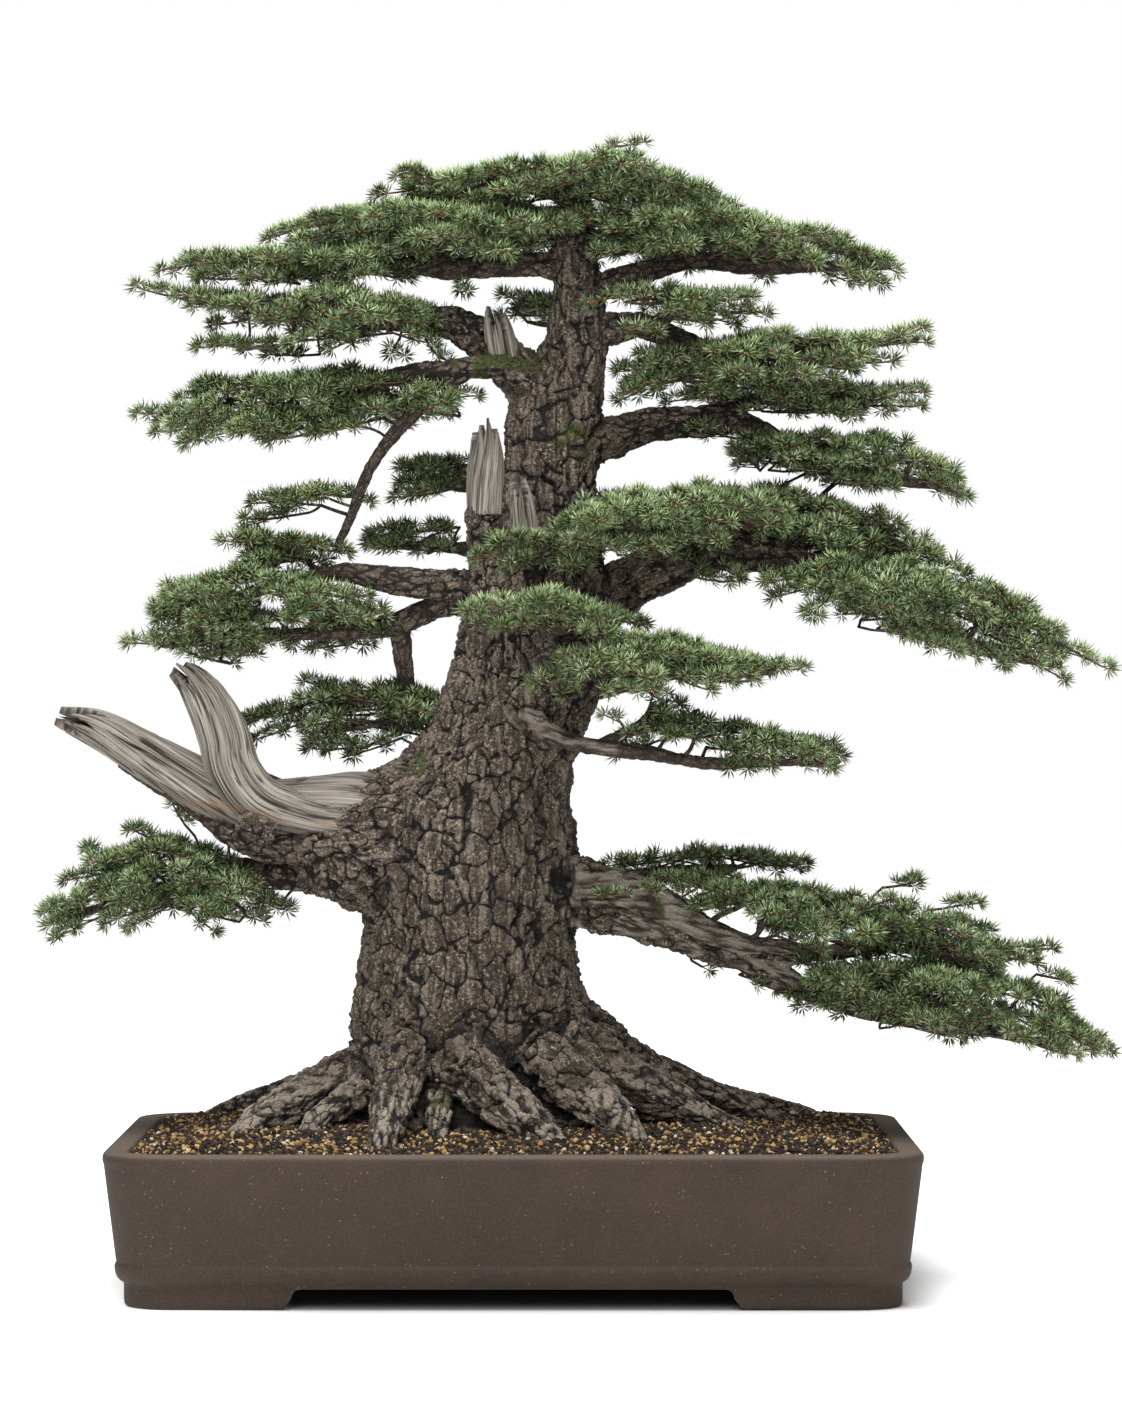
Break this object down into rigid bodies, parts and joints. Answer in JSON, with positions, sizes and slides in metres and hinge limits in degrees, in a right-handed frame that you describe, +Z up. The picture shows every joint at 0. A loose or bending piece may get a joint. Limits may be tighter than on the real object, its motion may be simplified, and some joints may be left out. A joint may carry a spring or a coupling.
{
  "type": "bonsai tree in a pot",
  "caption": "Conifer bonsai with a leaning bark-covered trunk, layered foliage pads, bleached dead branches and spreading roots in a rectangular footed pot.",
  "frame": {"origin": "middle of the bounding box's footprint, at the table that the feet stand on; the pot's own middle is at X = -45.5 mm", "axes": "+Z up, +X to the viewer's right along the pot's long side, -Y towards the front of the tree"},
  "size_m": [0.757, 0.4, 0.827],
  "materials": {
    "stoneware": "matte",
    "soil": "matte",
    "bark": "matte",
    "dead_wood": "matte",
    "needles": "matte",
    "mesh_plastic": "matte",
    "wire": "satin"
  },
  "bodies": {
    "root": {"pot": "stoneware", "drain_mesh_left": "mesh_plastic", "mesh_clip_left": "wire", "drain_mesh_right": "mesh_plastic", "mesh_clip_right": "wire", "anchor_wire": "wire", "soil": "soil", "trunk": "bark", "branch_low_right": "bark", "branch_low_left": "bark", "branch_thin_right": "bark", "branch_front": "bark", "branch_right_large": "bark", "branch_right_third": "bark", "branch_right_second": "bark", "branch_right_top": "bark", "branch_left_top": "bark", "branch_left_leader": "bark", "branch_left_second": "bark", "branch_left_mid": "bark", "branch_back_left_upper": "bark", "branch_back_left_lower": "bark", "branch_back_right_lower": "bark", "branch_back_right_upper": "bark", "dead_branch_left": "dead_wood", "dead_branch_upright": "dead_wood", "dead_branch_short": "dead_wood", "dead_branch_top": "dead_wood", "foliage_crown_top": "needles", "foliage_crown_sprig": "needles", "foliage_crown_left": "needles", "foliage_crown_right": "needles", "foliage_crown_inner": "needles", "foliage_left_upper": "needles", "foliage_left_leader": "needles", "foliage_left_second": "needles", "foliage_left_drooping": "needles", "foliage_left_tip": "needles", "foliage_mid_left": "needles", "foliage_mid_left_low": "needles", "foliage_mid_inner": "needles", "foliage_left_hanging": "needles", "foliage_back_left_upper": "needles", "foliage_back_left_lower": "needles", "foliage_low_left": "needles", "foliage_right_inner": "needles", "foliage_right_second": "needles", "foliage_right_third_upper": "needles", "foliage_right_third": "needles", "foliage_right_front": "needles", "foliage_right_large": "needles", "foliage_right_tip": "needles", "foliage_front_upper": "needles", "foliage_front_lower": "needles", "foliage_thin_right": "needles", "foliage_low_right_upper": "needles", "foliage_low_right": "needles", "foliage_low_right_tip": "needles", "foliage_back_right_lower": "needles", "foliage_back_right_upper": "needles"}
  },
  "joints": []
}
